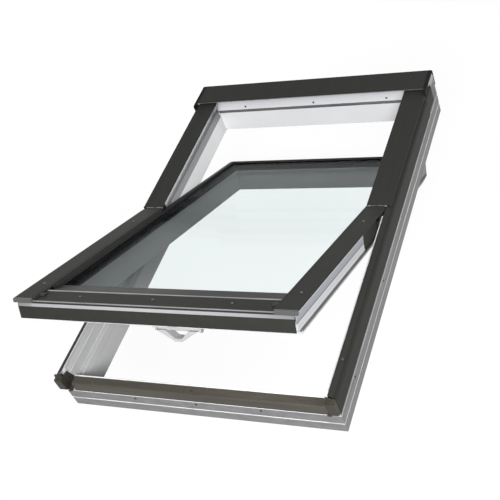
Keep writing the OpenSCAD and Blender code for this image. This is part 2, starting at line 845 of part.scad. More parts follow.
module handle() {
    w = handle_w / 2;
    low = sash_z - handle_h;
    tip = w * 0.1;
    loop = w * 0.12;
    loop_top = w * 0.55;
    outer = concat(
        [[w, handle_z]], arc(tip, low + tip_r, tip_r, -58, -90, 5),
        arc(-tip, low + tip_r, tip_r, -90, -122, 5), [[-w, handle_z]]
    );
    inner = concat(
        [[loop_top, handle_z]], arc(loop, low + handle_t + loop_r, loop_r, -45, -90, 4),
        arc(-loop, low + handle_t + loop_r, loop_r, -90, -135, 4), [[-loop_top, handle_z]]
    );
    color(white) opened() {
        difference() {
            bow(outer);
            along_y(inner, handle_y - handle_strap, handle_y + handle_strap);
        }
        bar_x(-w, w, handle_y, handle_z, bar_r);
        bar_x(-ear_x - ear_t, ear_x + ear_t, handle_y, handle_z, pin_r);
        block([-lever_w / 2, handle_y - 3, handle_z], [lever_w / 2, handle_y + 3, bolt_z + 1]);
    }
}

// The bow's outline, as wide as its strap
module bow(points) {
    along_y(points, handle_y - handle_strap / 2, handle_y + handle_strap / 2);
}

// Latch bolt: a flat bar in the bottom rail, notched for the lever
bolt_tail = 14;
notch = 5.5;

module latch_bolt() {
    w = bolt_w / 2;
    t = bolt_t / 2;
    color(silver) opened() difference() {
        block([-w, nose_y, bolt_z - t], [w, handle_y + bolt_tail, bolt_z + t]);
        block([-lever_w / 2 - 1, handle_y - notch, bolt_z - t - 1], [lever_w / 2 + 1, handle_y + notch, bolt_z + t + 1]);
    }
}

sash_screw_x = 205;

module sash_screws() {
    color(silver) opened() {
        for (x = [-sash_screw_x, 0, sash_screw_x])
            translate([x, bottom_edge_y - 22, bottom_top]) screw();
        for (k = [0, 1], y = [cover_end_y + 86, pivot_y - 115])
            mirror([k, 0, 0]) translate([sash_x + 6, y, cover_top]) screw();
    }
}

frame_jamb_left();
frame_jamb_right();
frame_head();
frame_sill();
jamb_gasket_left();
jamb_gasket_right();
head_gasket();
sill_gasket();
side_cladding_left();
side_cladding_right();
sill_cladding();
corner_block_left();
corner_block_right();
head_trim();
head_hood();
hood_end_cap_left();
hood_end_cap_right();
hood_end_plate_left();
hood_end_plate_right();
upper_cover_left();
upper_cover_right();
hinge_track_left();
hinge_track_right();
latch_keep();
frame_screws();
sash_stile_left();
sash_stile_right();
sash_top_rail();
sash_bottom_rail();
glass_outer();
glass_inner();
glass_spacer();
glazing_gasket_inner();
glazing_gasket_outer();
sash_cladding_left();
sash_cladding_right();
sash_cladding_top();
sash_cladding_bottom();
sash_cover_left();
sash_cover_right();
cover_end_left();
cover_end_right();
bottom_cover();
bottom_strip();
bottom_flange();
side_flange_left();
side_flange_right();
hinge_skirt_left();
hinge_skirt_right();
flange_gasket();
hinge_shoe_left();
hinge_shoe_right();
latch_case();
sash_screws();
handle();
latch_bolt();
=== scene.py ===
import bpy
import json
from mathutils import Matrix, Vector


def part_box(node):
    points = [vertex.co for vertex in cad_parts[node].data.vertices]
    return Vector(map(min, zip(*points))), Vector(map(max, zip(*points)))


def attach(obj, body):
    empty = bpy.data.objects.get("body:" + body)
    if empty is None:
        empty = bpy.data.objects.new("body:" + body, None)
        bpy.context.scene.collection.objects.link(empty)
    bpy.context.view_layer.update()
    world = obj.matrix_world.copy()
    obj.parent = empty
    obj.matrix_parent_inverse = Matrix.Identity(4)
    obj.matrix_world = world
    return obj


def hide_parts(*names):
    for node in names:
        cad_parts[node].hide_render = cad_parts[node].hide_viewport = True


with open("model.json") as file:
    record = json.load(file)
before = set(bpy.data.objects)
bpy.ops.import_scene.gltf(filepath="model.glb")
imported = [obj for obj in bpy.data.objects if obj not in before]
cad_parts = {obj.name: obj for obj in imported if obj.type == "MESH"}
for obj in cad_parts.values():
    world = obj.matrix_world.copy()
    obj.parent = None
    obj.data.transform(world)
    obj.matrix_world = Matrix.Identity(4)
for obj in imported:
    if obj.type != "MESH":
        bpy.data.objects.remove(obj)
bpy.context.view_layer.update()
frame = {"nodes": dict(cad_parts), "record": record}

import json
import math

import bmesh
import bpy
from mathutils import Matrix, Vector

NODES = frame["nodes"]
RECORD = frame["record"]
BODY = {node: body for body, nodes in RECORD["behaviour"]["bodies"].items() for node in nodes}
SLOT = {part["node"]: part["material_slot"] for part in RECORD["subparts"]}
MOUNT = {mount["name"]: mount for mount in RECORD["mounts"]}
SIDES = (-1, 1)


def side_name(name, sign):
    return name + ("_right" if sign > 0 else "_left")


# Half the spacing of a mount's holes, in metres
def half_spacing(mount):
    return MOUNT[mount]["dims"]["spacing_x_mm"] / 2000


# Pivot line of the sash, and the turn between its closed place and the open one shown
SASH_JOINT = next(joint for joint in RECORD["behaviour"]["joints"] if joint["name"] == "sash_pivot")
PIVOT = Vector(SASH_JOINT["pos_m"])
OPEN = math.radians(-SASH_JOINT["range_deg"][0])
CLOSE = Matrix.Rotation(OPEN, 4, "X")
TURN_OPEN = Matrix.Translation(PIVOT) @ CLOSE.inverted() @ Matrix.Translation(-PIVOT)

# Places on the frame and the sash, in metres
HALF_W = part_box("frame_jamb_right")[1][0]
HALF_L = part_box("frame_head")[1][1]
SASH_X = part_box("sash_stile_right")[1][0]
COVER_LOW, COVER_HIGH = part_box("upper_cover_right")
HOOD_LOW, HOOD_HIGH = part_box("head_hood")
HOOD_LIP = 0.153
OPENING_X = 0.348
UPSTAND_X = 0.372
REBATE_Z = 0.075
RIB_X = 0.3668

# Screw holes of the sill and the jambs, and how far from its middle each gets painted shade
HOLE_RIM = 0.0036
HOLE_Z = MOUNT["sill_holes"]["pos_m"][2]
SILL_STEP = half_spacing("sill_holes")
JAMB_STEP = half_spacing("right_jamb_holes")
JAMB_MIDDLE = MOUNT["right_jamb_holes"]["pos_m"][1]
HOLES = [(k * SILL_STEP, -HALF_L, HOLE_Z) for k in (-1, 0, 1)]
HOLES += [(side * HALF_W, JAMB_MIDDLE + k * JAMB_STEP, HOLE_Z) for side in SIDES for k in (-1, 1)]

# Camera at the photograph's viewing angle
SENSOR, LENS, FAR = 36.0, 66.88, 60.0
CAMERA_AT = Vector((1.1402, -1.6759, 1.8080))
CAMERA_AIM = Vector((-0.4409, 0.6073, -0.6609))
CAMERA_UP = Vector((-0.0130, 0.7320, 0.6812))


def camera():
    lens = bpy.data.cameras.new("camera")
    lens.sensor_width = SENSOR
    lens.lens = LENS
    lens.clip_end = FAR
    holder = bpy.data.objects.new("camera", lens)
    bpy.context.scene.collection.objects.link(holder)
    aim = CAMERA_AIM.normalized()
    right = aim.cross(CAMERA_UP).normalized()
    turn = Matrix((right, right.cross(aim), -aim)).transposed().to_4x4()
    holder.matrix_world = Matrix.Translation(CAMERA_AT) @ turn
    bpy.context.scene.camera = holder


# A new material, its node tree and its shader
def new_material(name):
    material = bpy.data.materials.new(name)
    material.use_nodes = True
    tree = material.node_tree
    return material, tree, tree.nodes["Principled BSDF"]


def add(tree, kind, **values):
    node = tree.nodes.new(kind)
    for key, value in values.items():
        setattr(node, key, value)
    return node


# Object coordinates, or those that the place has when the sash is closed
def coords(tree, scale=(1, 1, 1), closed=False):
    source = add(tree, "ShaderNodeTexCoord")
    mapping = add(tree, "ShaderNodeMapping")
    mapping.inputs["Scale"].default_value = scale
    if closed:
        mapping.inputs["Rotation"].default_value = (OPEN, 0, 0)
        mapping.inputs["Location"].default_value = PIVOT - CLOSE @ PIVOT
    tree.links.new(source.outputs["Object"], mapping.inputs["Vector"])
    return mapping.outputs["Vector"]


def axis(tree, name, closed=False):
    parts = add(tree, "ShaderNodeSeparateXYZ")
    tree.links.new(coords(tree, closed=closed), parts.inputs[0])
    return parts.outputs[name]


def noise(tree, scale, detail=3.0, stretch=(1, 1, 1)):
    texture = add(tree, "ShaderNodeTexNoise")
    texture.inputs["Scale"].default_value = scale
    texture.inputs["Detail"].default_value = detail
    tree.links.new(coords(tree, stretch), texture.inputs["Vector"])
    return texture.outputs["Fac"]


def ramp(tree, factor, stops):
    bands = add(tree, "ShaderNodeValToRGB")
    while len(bands.color_ramp.elements) < len(stops):
        bands.color_ramp.elements.new(0.5)
    for element, (position, colour) in zip(bands.color_ramp.elements, stops):
        element.position = position
        element.color = (*colour, 1)
    tree.links.new(factor, bands.inputs["Fac"])
    return bands.outputs["Color"]


# Colour that wanders between two tones with a noise
def mottled(tree, factor, first, second):
    return ramp(tree, factor, [(0.3, first), (0.7, second)])


def spread(tree, factor, low, high, start=0.0, end=1.0):
    scaled = add(tree, "ShaderNodeMapRange")
    scaled.inputs["From Min"].default_value = start
    scaled.inputs["From Max"].default_value = end
    scaled.inputs["To Min"].default_value = low
    scaled.inputs["To Max"].default_value = high
    tree.links.new(factor, scaled.inputs["Value"])
    return scaled.outputs["Result"]


# How far a coordinate has gone from start to end, from 0 to 1
def share(tree, coordinate, start, end):
    return spread(tree, coordinate, 0.0, 1.0, start, end)


def math_node(tree, operation, first, second=None):
    node = add(tree, "ShaderNodeMath", operation=operation)
    tree.links.new(first, node.inputs[0])
    if isinstance(second, float):
        node.inputs[1].default_value = second
    elif second is not None:
        tree.links.new(second, node.inputs[1])
    return node.outputs[0]


def blended(tree, factor, under, over, mode="MIX"):
    node = add(tree, "ShaderNodeMix", data_type="RGBA", blend_type=mode)
    if isinstance(factor, float):
        node.inputs["Factor"].default_value = factor
    else:
        tree.links.new(factor, node.inputs["Factor"])
    tree.links.new(under, node.inputs["A"])
    tree.links.new(over, node.inputs["B"])
    return node.outputs["Result"]


# Tone, roughness, shine and fine relief of a surface
def finish(tree, shader, tone, rough, grain, relief, specular, uneven=0.06):
    tree.links.new(tone, shader.inputs["Base Color"])
    fine = noise(tree, grain, detail=2.0)
    tree.links.new(spread(tree, fine, rough - uneven, rough + uneven), shader.inputs["Roughness"])
    shader.inputs["Specular IOR Level"].default_value = specular
    bump = add(tree, "ShaderNodeBump")
    bump.inputs["Distance"].default_value = relief
    tree.links.new(fine, bump.inputs["Height"])
    tree.links.new(bump.outputs["Normal"], shader.inputs["Normal"])


# Masks, each 1 in one zone of the surface and 0 elsewhere
def beyond(tree, name, size):
    return math_node(tree, "GREATER_THAN", math_node(tree, "ABSOLUTE", axis(tree, name)), size)


def close_to(tree, name, at, reach):
    node = add(tree, "ShaderNodeMath", operation="COMPARE")
    tree.links.new(axis(tree, name), node.inputs[0])
    node.inputs[1].default_value = at
    node.inputs[2].default_value = reach
    return node.outputs[0]


def near_outer_faces(tree, depth):
    return math_node(tree, "MAXIMUM", beyond(tree, "X", HALF_W - depth), beyond(tree, "Y", HALF_L - depth))


# Discs round the screw holes, which get painted shade
def on_hole_rims(tree):
    rims = None
    for hole in HOLES:
        distance = add(tree, "ShaderNodeVectorMath", operation="DISTANCE")
        tree.links.new(coords(tree), distance.inputs[0])
        distance.inputs[1].default_value = hole
        rim = math_node(tree, "LESS_THAN", distance.outputs["Value"], HOLE_RIM)
        rims = rim if rims is None else math_node(tree, "MAXIMUM", rims, rim)
    return rims


# Colour that changes up the slope, from the sill's outer face to the head's
def sloped(tree, stops):
    return ramp(tree, share(tree, axis(tree, "Y"), -HALF_L, HALF_L), stops)


# Seal grey along the jambs, darker towards the head with painted shade
def seal_grey_and_shade(tree):
    return sloped(tree, [
        (0.0, (0.47, 0.47, 0.47)), (0.46, (0.45, 0.45, 0.455)),
        (0.56, (0.29, 0.295, 0.30)), (1.0, (0.27, 0.275, 0.28))])


# A moulded or painted finish, whose colour wanders between two tones
def coated(name, first, second, rough, grain, relief, specular, blotch=6.0, stretch=(1, 1, 1)):
    material, tree, shader = new_material(name)
    patches = noise(tree, blotch, detail=4.0, stretch=stretch)
    finish(tree, shader, mottled(tree, patches, first, second), rough, grain, relief, specular)
    return material


# Light aluminium profiles, streaked along X and banded along one axis
def drawn(name, stops, along, low, high, rough, closed=False):
    material, tree, shader = new_material(name)
    tone = ramp(tree, share(tree, axis(tree, along, closed), low, high), stops)
    lines = noise(tree, 60.0, detail=4.0, stretch=(1, 12, 12))
    streak = ramp(tree, lines, [(0.25, (0.90, 0.90, 0.90)), (0.75, (1.0, 1.0, 1.0))])
    tone = blended(tree, 1.0, tone, streak, "MULTIPLY")
    finish(tree, shader, tone, rough, grain=1400.0, relief=0.00001, specular=0.4)
    return material


# White plastic of the frame: clean inside, seal grey with painted shade in the jambs' rebates, a painted
# shadow of the sash on the jambs' lower half, painted shade in its screw holes, and dull with lighter
# grooves on the outer faces
def frame_plastic():
    face_skin, groove_skin, bore_depth, floor_skin = 0.0007, 0.0010, 0.038, 0.0008
    material, tree, shader = new_material("frame_plastic")
    patches = noise(tree, 5.0, detail=4.0)
    scuffs = noise(tree, 30.0, detail=5.0, stretch=(1, 0.12, 2.0))
    clean = mottled(tree, patches, (0.78, 0.79, 0.80), (0.83, 0.83, 0.84))
    dull = mottled(tree, scuffs, (0.175, 0.177, 0.18), (0.235, 0.235, 0.238))
    # Near black, used as painted shade in and round the screw holes
    dark = mottled(tree, scuffs, (0.020, 0.020, 0.020), (0.030, 0.030, 0.030))
    line = mottled(tree, scuffs, (0.38, 0.38, 0.39), (0.48, 0.48, 0.49))
    # Painted shadow of the sash on the jambs' lower half, clean white on their upper half
    jambs = sloped(tree, [
        (0.0, (0.56, 0.56, 0.565)), (0.40, (0.60, 0.60, 0.605)),
        (0.60, (0.79, 0.80, 0.81)), (1.0, (0.80, 0.81, 0.82))])
    inside_rib = math_node(tree, "LESS_THAN", beyond(tree, "X", RIB_X), 0.5)
    rebate = math_node(tree, "MINIMUM", close_to(tree, "Z", REBATE_Z, floor_skin), inside_rib)
    # Painted shade on the bore walls of the screw holes
    hole_height = close_to(tree, "Z", HOLE_Z, HOLE_RIM)
    bored = math_node(tree, "MINIMUM", hole_height, near_outer_faces(tree, bore_depth))
    tone = blended(tree, beyond(tree, "X", OPENING_X), clean, jambs)
    # Seal grey in the jambs' rebates, with painted shade towards the head
    tone = blended(tree, rebate, tone, seal_grey_and_shade(tree))
    tone = blended(tree, bored, tone, dark)
    tone = blended(tree, near_outer_faces(tree, groove_skin), tone, line)
    tone = blended(tree, near_outer_faces(tree, face_skin), tone, dull)
    # Painted shade on the discs round the screw holes
    tone = blended(tree, on_hole_rims(tree), tone, dark)
    finish(tree, shader, tone, rough=0.40, grain=900.0, relief=0.00002, specular=0.15)
    return material


# White plastic of the sash, with grey outer sides as painted shade and a darker painted shadow along their
# inner edge
def sash_plastic():
    side_skin, shadow_top = 0.0068, 0.069
    material, tree, shader = new_material("sash_plastic")
    patches = noise(tree, 6.0, detail=4.0)
    clean = mottled(tree, patches, (0.74, 0.75, 0.76), (0.80, 0.80, 0.81))
    # Painted shade: grey tone of the sash's outer sides
    side = mottled(tree, patches, (0.26, 0.265, 0.27), (0.32, 0.325, 0.33))
    # Painted shadow: dark tone along the lower, inner edge of the outer sides
    seal = mottled(tree, patches, (0.070, 0.070, 0.072), (0.090, 0.090, 0.092))
    low = math_node(tree, "LESS_THAN", axis(tree, "Z", closed=True), shadow_top)
    sides = blended(tree, low, side, seal)
    tone = blended(tree, beyond(tree, "X", SASH_X - side_skin), clean, sides)
    finish(tree, shader, tone, rough=0.40, grain=900.0, relief=0.00002, specular=0.10)
    return material


# Jamb seal: seal grey with painted shade along the opening, and on the upper half white on its rib beside
# the upstand
def jamb_rubber():
    material, tree, shader = new_material("jamb_rubber")
    rib = sloped(tree, [
        (0.0, (0.50, 0.50, 0.505)), (0.46, (0.50, 0.50, 0.505)),
        (0.56, (0.78, 0.79, 0.80)), (1.0, (0.80, 0.80, 0.81))])
    tone = blended(tree, beyond(tree, "X", RIB_X), seal_grey_and_shade(tree), rib)
    finish(tree, shader, tone, rough=0.65, grain=1600.0, relief=0.00006, specular=0.1)
    return material


# Dark trim below the glass, with a painted highlight along its half-round edge, fading in streaks along it
def bottom_trim():
    edge_front, edge_back = -0.5610, -0.5540
    paint = (0.036, 0.0355, 0.033)
    material, tree, shader = new_material("bottom_trim_paint")
    # Painted highlight across the half-round edge
    edge = ramp(tree, share(tree, axis(tree, "Y", closed=True), edge_front, edge_back), [
        (0.0, paint), (0.08, (0.12, 0.12, 0.12)), (0.3, (0.36, 0.36, 0.365)),
        (0.55, (0.30, 0.30, 0.305)), (0.8, (0.08, 0.08, 0.08)), (1.0, paint)])
    lines = noise(tree, 14.0, stretch=(0.5, 5, 5))
    highlight_fade = ramp(tree, lines, [(0.35, (0.62, 0.62, 0.62)), (0.65, (1.0, 1.0, 1.0))])
    tone = blended(tree, 1.0, edge, highlight_fade, "MULTIPLY")
    finish(tree, shader, tone, rough=0.34, grain=1400.0, relief=0.00002, specular=0.1)
    return material


# Satin steel of the latch and the screws
def steel(name, first, second):
    material, tree, shader = new_material(name)
    tone = mottled(tree, noise(tree, 160.0), first, second)
    shader.inputs["Metallic"].default_value = 0.8
    finish(tree, shader, tone, rough=0.42, grain=2500.0, relief=0.00001, specular=0.4)
    return material


# Clear panes with a faint tint
def tinted_glass():
    material, tree, shader = new_material("tinted_glass")
    tint = mottled(tree, noise(tree, 1.5, detail=1.0), (0.935, 0.968, 0.968), (0.945, 0.975, 0.975))
    tree.links.new(tint, shader.inputs["Base Color"])
    shader.inputs["Transmission Weight"].default_value = 1.0
    shader.inputs["Roughness"].default_value = 0.0
    shader.inputs["IOR"].default_value = 1.04
    return material


# Plastics
FRAME_WHITE = frame_plastic()
SASH_WHITE = sash_plastic()
HANDLE_WHITE = coated("handle_plastic", (0.40, 0.40, 0.405), (0.46, 0.46, 0.465),
                      rough=0.3, grain=900.0, relief=0.00002, specular=0.4)
MOULDED_BLACK = coated("moulded_black", (0.018, 0.018, 0.017), (0.030, 0.029, 0.027),
                       rough=0.55, grain=1000.0, relief=0.00005, specular=0.2)
MOULDED_BROWN = coated("moulded_brown", (0.024, 0.023, 0.017), (0.050, 0.044, 0.035),
                       rough=0.5, grain=700.0, relief=0.00006, specular=0.2, blotch=40.0)
RIM_BLACK = coated("rim_black", (0.007, 0.007, 0.007), (0.012, 0.012, 0.012),
                   rough=0.55, grain=1000.0, relief=0.00004, specular=0.05)
SPACER_BLACK = coated("spacer_black", (0.022, 0.023, 0.025), (0.030, 0.031, 0.033),
                      rough=0.6, grain=1000.0, relief=0.00003, specular=0.1)
COVER_END = coated("cover_end_plastic", (0.055, 0.055, 0.052), (0.085, 0.084, 0.080),
                   rough=0.4, grain=1200.0, relief=0.00002, specular=0.4)

# Painted aluminium and bare edges
COVER = coated("cover_paint", (0.030, 0.0297, 0.0276), (0.0335, 0.0331, 0.0304),
               rough=0.40, grain=1400.0, relief=0.00002, specular=0.03, blotch=9.0, stretch=(6, 0.5, 6))
SILL_PAINT = coated("sill_paint", (0.060, 0.054, 0.046), (0.082, 0.073, 0.060),
                    rough=0.42, grain=1400.0, relief=0.00002, specular=0.12, blotch=8.0,
                    stretch=(0.6, 6, 6))
BOTTOM_TRIM = bottom_trim()
# Pale grey of the bead, a painted highlight
BEAD_HIGHLIGHT = coated("bead_highlight", (0.16, 0.16, 0.155), (0.24, 0.24, 0.235),
              rough=0.3, grain=1500.0, relief=0.00001, specular=0.5, blotch=12.0)
# Pale grey of the hood's edge, a painted highlight
EDGE_HIGHLIGHT = coated("painted_edge_highlight", (0.11, 0.11, 0.105), (0.17, 0.17, 0.165),
              rough=0.4, grain=1500.0, relief=0.00001, specular=0.2, blotch=40.0)
JOINT_EDGE = coated("joint_edge", (0.015, 0.015, 0.015), (0.34, 0.34, 0.33),
                    rough=0.4, grain=1500.0, relief=0.00001, specular=0.2, blotch=85.0)

# Seals
DARK_SEAL = coated("dark_seal", (0.10, 0.098, 0.11), (0.15, 0.147, 0.16),
                   rough=0.65, grain=1600.0, relief=0.00006, specular=0.2)
JAMB_SEAL = jamb_rubber()
LIP_SEAL = coated("lip_seal", (0.58, 0.58, 0.59), (0.66, 0.66, 0.67),
                  rough=0.6, grain=1600.0, relief=0.00005, specular=0.1)
PALE_SEAL = coated("pale_seal", (0.36, 0.36, 0.37), (0.46, 0.46, 0.47),
                   rough=0.65, grain=1600.0, relief=0.00006, specular=0.2)

# Light aluminium, steel and glass
# Flange, banded along its height, with a painted highlight along its top edge
FLANGE = drawn("flange_profile", [
    (0.0, (0.10, 0.10, 0.11)), (0.06, (0.12, 0.12, 0.13)), (0.10, (0.60, 0.61, 0.63)),
    (0.37, (0.66, 0.67, 0.69)), (0.395, (0.12, 0.12, 0.13)), (0.42, (0.15, 0.16, 0.18)),
    (0.45, (0.31, 0.33, 0.36)), (0.72, (0.39, 0.41, 0.45)), (0.76, (0.74, 0.75, 0.77)),
    (1.0, (0.80, 0.81, 0.83))], along="Z", low=0.088, high=0.1425, rough=0.4, closed=True)
# Bottom strip, with painted shadow of the cover end darkening its left end, and darker also towards its
# right end
STRIP = drawn("strip_profile", [
    (0.0, (0.19, 0.19, 0.20)), (0.045, (0.23, 0.23, 0.24)), (0.07, (0.32, 0.315, 0.335)),
    (0.5, (0.36, 0.36, 0.37)), (0.85, (0.28, 0.28, 0.30)), (1.0, (0.18, 0.18, 0.20))],
    along="X", low=-0.37, high=0.37, rough=0.35)
TRIM = drawn("trim_profile", [
    (0.0, (0.86, 0.86, 0.88)), (0.6, (0.66, 0.66, 0.69)), (1.0, (0.50, 0.50, 0.54))],
    along="Z", low=0.082, high=0.139, rough=0.4)
END_PLATE = drawn("end_plate_sheet", [
    (0.0, (0.10, 0.105, 0.11)), (0.60, (0.14, 0.145, 0.15)), (0.74, (0.40, 0.41, 0.43)),
    (1.0, (0.60, 0.61, 0.63))], along="Z", low=0.075, high=0.150, rough=0.45)
LATCH_STEEL = steel("latch_steel", (0.42, 0.43, 0.44), (0.56, 0.57, 0.58))
SCREW_STEEL = steel("screw_steel", (0.07, 0.07, 0.07), (0.11, 0.11, 0.11))
GLASS = tinted_glass()

# Finish of each slot, of the nodes that have another one, and of the nodes that come in pairs
BY_SLOT = {"white_plastic": SASH_WHITE, "dark_cover": COVER, "black_plastic": MOULDED_BLACK,
           "light_aluminium": FLANGE, "steel": LATCH_STEEL, "seal": DARK_SEAL, "glazing": GLASS}
BY_NODE = {"frame_head": FRAME_WHITE, "frame_sill": FRAME_WHITE, "sill_cladding": SILL_PAINT,
           "glass_spacer": SPACER_BLACK, "sill_gasket": PALE_SEAL, "sash_cladding_bottom": BOTTOM_TRIM,
           "head_trim": TRIM, "bottom_strip": STRIP, "glazing_gasket_outer": MOULDED_BLACK,
           "handle": HANDLE_WHITE, "latch_case": HANDLE_WHITE}
PAIRED = {"frame_jamb": FRAME_WHITE, "corner_block": MOULDED_BROWN, "jamb_gasket": JAMB_SEAL,
          "hood_end_plate": END_PLATE, "cover_end": COVER_END, "hood_end_cap": RIM_BLACK}
BY_NODE.update({side_name(pair, sign): look for pair, look in PAIRED.items() for sign in SIDES})

# How far the edges of each slot's pieces are eased, and the angles and distances that count in a mesh
EASE = {"white_plastic": 0.0010, "dark_cover": 0.0005, "black_plastic": 0.0012, "light_aluminium": 0.0004,
        "steel": 0.0004, "seal": 0.0004}
EASED_FROM = math.radians(28.0)
SHARP_FROM = math.radians(35.0)
FLAT_BELOW = math.radians(0.4)
MERGE_DISTANCE = 2e-6
SAME_PLACE = 1e-6

# Screw heads, as shares of their radius and height
SCREWS = ("frame_screws", "sash_screws")
SCREW_SIDES = 20
CROSS_ARMS = 4
HEAD_TAPER = 0.78
RECESS_INSET = 0.36
RECESS_DEPTH = 0.7
CROSS_WAIST = 0.55


# The piece of a finished mesh, riding on its body
def place(name, shape, body, material, slot, replaced=()):
    mesh = bpy.data.meshes.new(name)
    shape.to_mesh(mesh)
    shape.free()
    mesh.shade_smooth()
    mesh.set_sharp_from_angle(angle=SHARP_FROM)
    mesh.materials.append(material)
    piece = bpy.data.objects.new(name, mesh)
    bpy.context.scene.collection.objects.link(piece)
    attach(piece, body)
    if replaced:
        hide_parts(*replaced)
    piece.modifiers.new("weighted", "WEIGHTED_NORMAL").keep_sharp = True


# A copy of a node's mesh, with its triangles joined to whole faces
def merged(node):
    shape = bmesh.new()
    shape.from_mesh(NODES[node].data)
    bmesh.ops.remove_doubles(shape, verts=shape.verts, dist=MERGE_DISTANCE)
    bmesh.ops.dissolve_limit(shape, angle_limit=FLAT_BELOW, verts=shape.verts, edges=shape.edges)
    return shape


def rounded(shape, edges, width):
    bmesh.ops.bevel(shape, geom=list(edges), offset=width, offset_type="OFFSET", affect="EDGES", segments=2,
                    profile=0.5, material=-1, clamp_overlap=True)


# A copy of the node with its sharp edges eased
def eased(node, width, material):
    shape = merged(node)
    closed = [e for e in shape.edges if len(e.link_faces) == 2]
    rounded(shape, [e for e in closed if e.calc_face_angle(0.0) > EASED_FROM], width)
    place("eased_" + node, shape, BODY[node], material, SLOT[node], (node,))


# A tapered screw head with a cross recess
def screw_head(shape, at, out, radius, height):
    ring = bmesh.ops.create_circle(shape, cap_ends=True, segments=SCREW_SIDES, radius=radius)["verts"]
    verts = set(ring)
    raised = bmesh.ops.extrude_face_region(shape, geom=[ring[0].link_faces[0]])["geom"]
    top = [v for v in raised if isinstance(v, bmesh.types.BMVert)]
    bmesh.ops.translate(shape, verts=top, vec=(0, 0, height))
    bmesh.ops.scale(shape, verts=top, vec=(HEAD_TAPER, HEAD_TAPER, 1))
    verts.update(top)
    face = next(f for f in raised if isinstance(f, bmesh.types.BMFace))
    bmesh.ops.inset_individual(shape, faces=[face], thickness=radius * RECESS_INSET)
    verts.update(face.verts)
    sunk = bmesh.ops.extrude_discrete_faces(shape, faces=[face])["faces"][0]
    bmesh.ops.translate(shape, verts=sunk.verts, vec=(0, 0, -height * RECESS_DEPTH))
    for k, v in enumerate(sunk.verts):
        v.co.xy *= 1.0 if k % (SCREW_SIDES // CROSS_ARMS) else CROSS_WAIST
    verts.update(sunk.verts)
    side = out.orthogonal().normalized()
    turn = Matrix((side, out.cross(side), out)).transposed().to_4x4()
    live = [v for v in verts if v.is_valid]
    bmesh.ops.transform(shape, matrix=Matrix.Translation(at) @ turn, verts=live)


# The separate solids of a mesh, each as a set of its vertices
def islands(shape):
    done = set()
    for start in shape.verts:
        if start in done:
            continue
        island = set()
        ends = [start]
        while ends:
            v = ends.pop()
            if v not in island:
                island.add(v)
                ends.extend(e.other_vert(v) for e in v.link_edges)
        done |= island
        yield island


# A new head on each screw of the node, between its wide and its small end
def screws(node):
    solid = merged(node)
    heads = bmesh.new()
    for island in islands(solid):
        faces = {f for v in island for f in v.link_faces}
        ends = sorted(faces, key=lambda f: -len(f.verts))[:2]
        wide, small = sorted(ends, key=lambda f: -f.calc_area())
        foot = wide.calc_center_median()
        out = small.calc_center_median() - foot
        radius = (wide.verts[0].co - foot).length
        screw_head(heads, foot, out.normalized(), radius, out.length)
    solid.free()
    bmesh.ops.recalc_face_normals(heads, faces=heads.faces)
    place(node + "_heads", heads, BODY[node], SCREW_STEEL, SLOT[node], (node,))


# A flat face drawn out by a step
def drawn_out(shape, face, step):
    run = bmesh.ops.extrude_face_region(shape, geom=[face])["geom"]
    bmesh.ops.translate(shape, verts=[v for v in run if isinstance(v, bmesh.types.BMVert)], vec=step)
    bmesh.ops.recalc_face_normals(shape, faces=shape.faces)


# A bar with a Y-Z outline, drawn out across the roof from x
def bar_across(shape, outline, x, run):
    drawn_out(shape, shape.faces.new([shape.verts.new((x, y, z)) for y, z in outline]), (run, 0, 0))


# A bar with an X-Z outline on one side, drawn out up the slope from y
def bar_along(shape, outline, sign, y, run):
    drawn_out(shape, shape.faces.new([shape.verts.new((sign * x, y, z)) for x, z in outline]), (0, run, 0))


# Ribbed seal on the inner wall of each jamb's upstand, below and above the hinge
def upstand_seal(sign):
    low, high, ribs = 0.1085, 0.1270, 4
    valley, ridge = 0.0002, 0.0008
    below, above = (-0.560, -0.045), (0.085, 0.545)
    step = (high - low) / (2 * ribs)
    teeth = [(UPSTAND_X - (ridge if k % 2 else valley), low + k * step) for k in range(2 * ribs + 1)]
    shape = bmesh.new()
    for start, end in (below, above):
        bar_along(shape, teeth + [(UPSTAND_X, high), (UPSTAND_X, low)], sign, start, end - start)
    place(side_name("upstand_seal", sign), shape, "frame", LIP_SEAL, "seal")


# Moulded lining on the upstand's inner wall, from the corner block up to where the rebate runs clear
def corner_lining(sign):
    inner, wall, easing = 0.3702, 0.3719, 0.0009
    front, back, foot, top = -0.5728, -0.5612, 0.0792, 0.1262
    outline = [(front, foot), (front, top), (-0.5695, 0.1215), (-0.5640, 0.1020),
               (back, 0.0930), (back, foot)]
    shape = bmesh.new()
    bar_across(shape, outline, sign * wall, sign * (inner - wall))
    free = {v for v in shape.verts if abs(abs(v.co.x) - inner) < SAME_PLACE}
    rounded(shape, [e for e in shape.edges if free.issuperset(e.verts)], easing)
    place(side_name("corner_lining", sign), shape, "frame", MOULDED_BROWN, "black_plastic")


# Strip, spotted with dark, that closes the lower end of each upper cover
def joint_strip(sign):
    outer, depth, thickness, easing = 0.376, 0.005, 0.0012, 0.0003
    inner, start, top = COVER_LOW[0], COVER_LOW[1], COVER_HIGH[2]
    outline = [(inner, top - depth), (outer, top - depth), (outer, top), (inner, top)]
    shape = bmesh.new()
    bar_along(shape, outline, sign, start - thickness, thickness)
    rounded(shape, shape.edges, easing)
    place(side_name("joint_strip", sign), shape, "frame", JOINT_EDGE, "light_aluminium")


